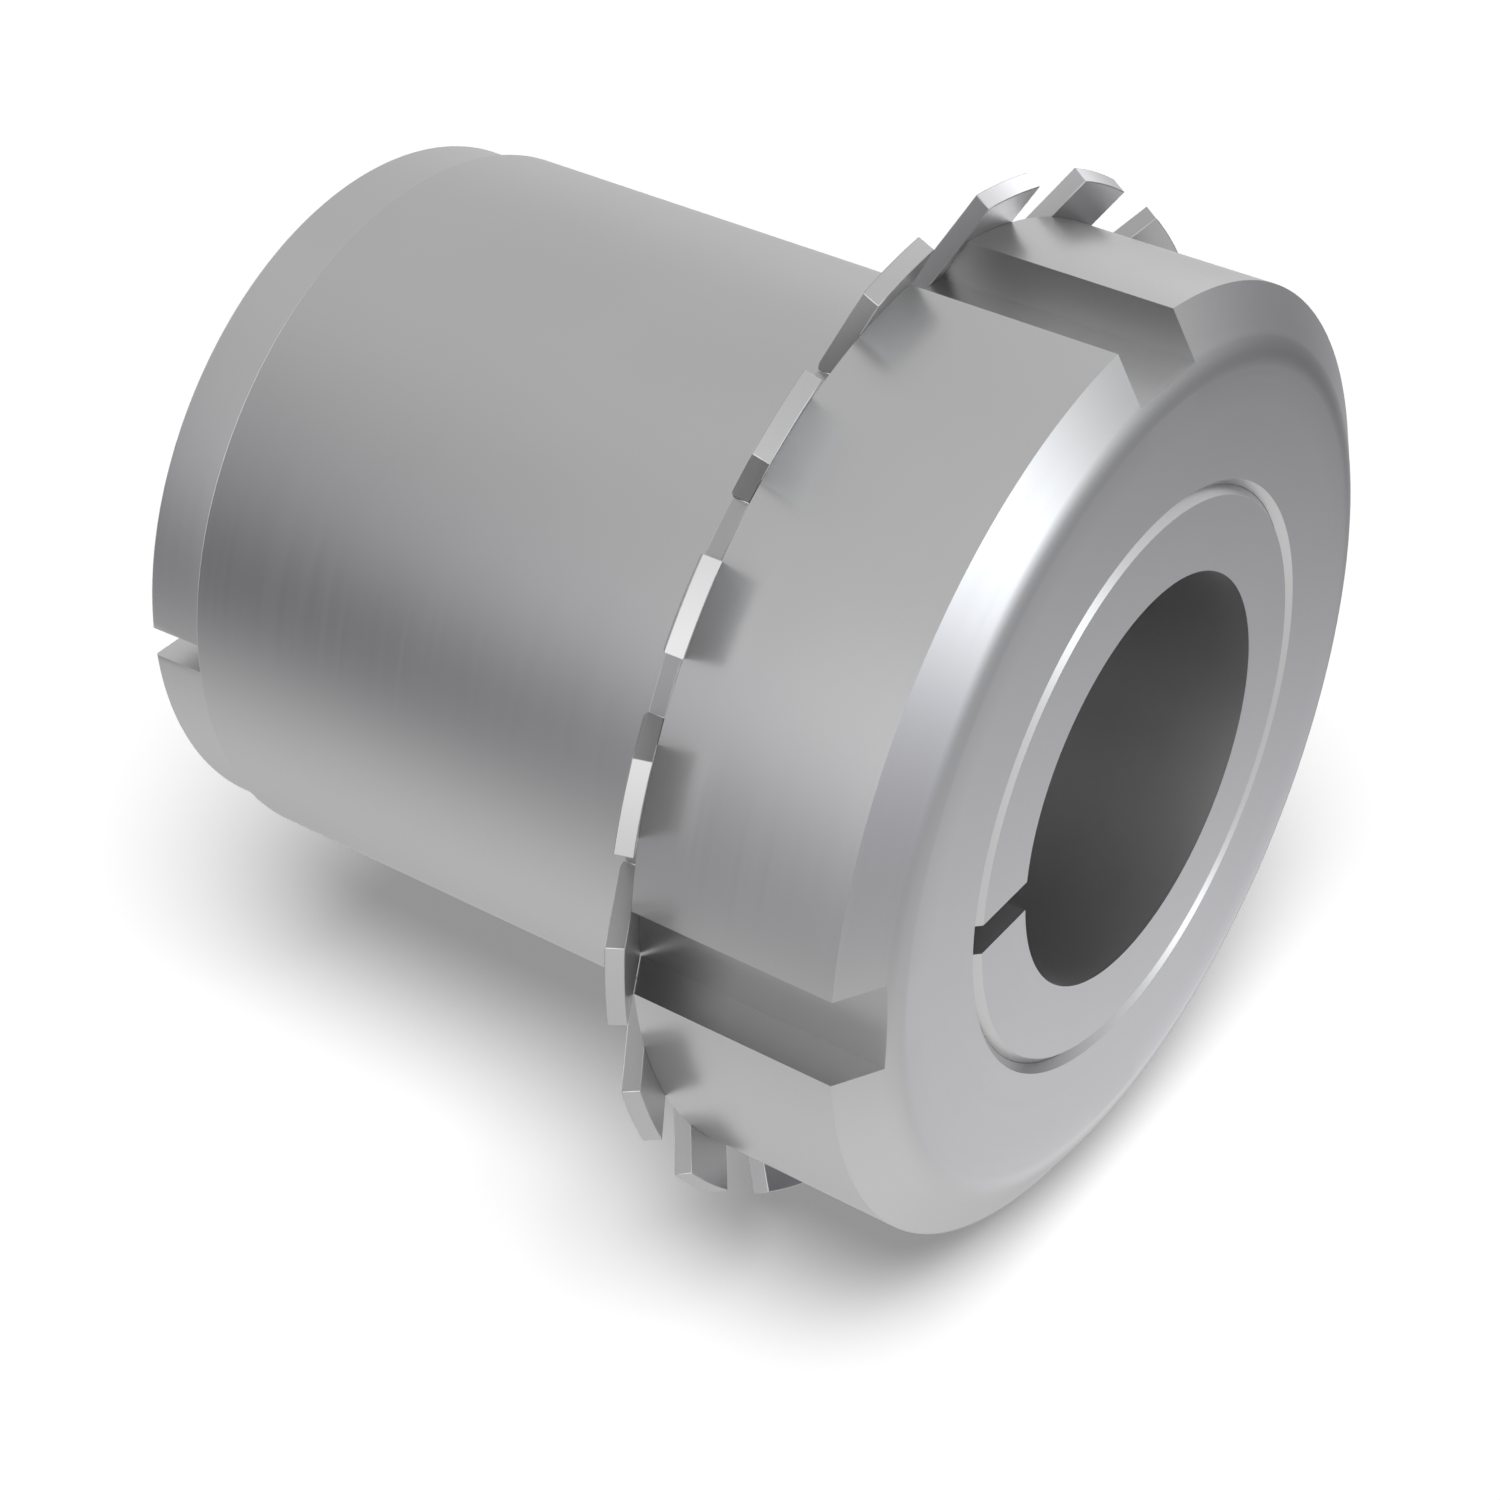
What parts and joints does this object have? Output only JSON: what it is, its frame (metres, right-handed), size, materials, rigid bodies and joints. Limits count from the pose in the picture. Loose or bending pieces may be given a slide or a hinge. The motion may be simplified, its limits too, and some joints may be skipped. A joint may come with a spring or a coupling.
{
  "type": "shaft locking assembly",
  "caption": "Keyless shaft locking assembly: slit taper sleeve and slit outer ring drawn together by a slotted round nut with a bent-tab lock washer.",
  "frame": {"origin": "centre of the inner ring's rear face, on the shaft axis", "axes": "+Z along the shaft axis, from the rear face to the nut; +Y through the inner ring's slit"},
  "size_m": [0.0352, 0.0354, 0.0309],
  "materials": {
    "turned_steel_sleeve": "fine turned, satin",
    "ground_steel_ring": "ground, satin",
    "pressed_steel_washer": "cold rolled and pressed, satin",
    "turned_steel_nut": "fine turned, satin"
  },
  "bodies": {
    "sleeve": {"inner_ring": "turned_steel_sleeve"},
    "ring": {"outer_ring": "ground_steel_ring"},
    "washer": {"lock_washer": "pressed_steel_washer"},
    "nut": {"lock_nut": "turned_steel_nut"}
  },
  "joints": [
    {"name": "outer_ring_travel", "type": "slide", "parent": "sleeve", "child": "ring", "axis": [0, 0, 1], "range_m": [0, 0.0081]},
    {"name": "washer_travel", "type": "slide", "parent": "sleeve", "child": "washer", "axis": [0, 0, 1], "range_m": [0, 0.0081]},
    {"name": "nut_turn", "type": "hinge", "parent": "washer", "child": "nut", "pos_m": [0, 0, 0.02627], "axis": [0, 0, 1], "range_deg": [0, 2880]}
  ],
  "couplings": [
    {"joint": "washer_travel", "follows": "nut_turn", "m_per_rad": 0.00015915},
    {"joint": "outer_ring_travel", "follows": "nut_turn", "m_per_rad": 0.00015915}
  ]
}
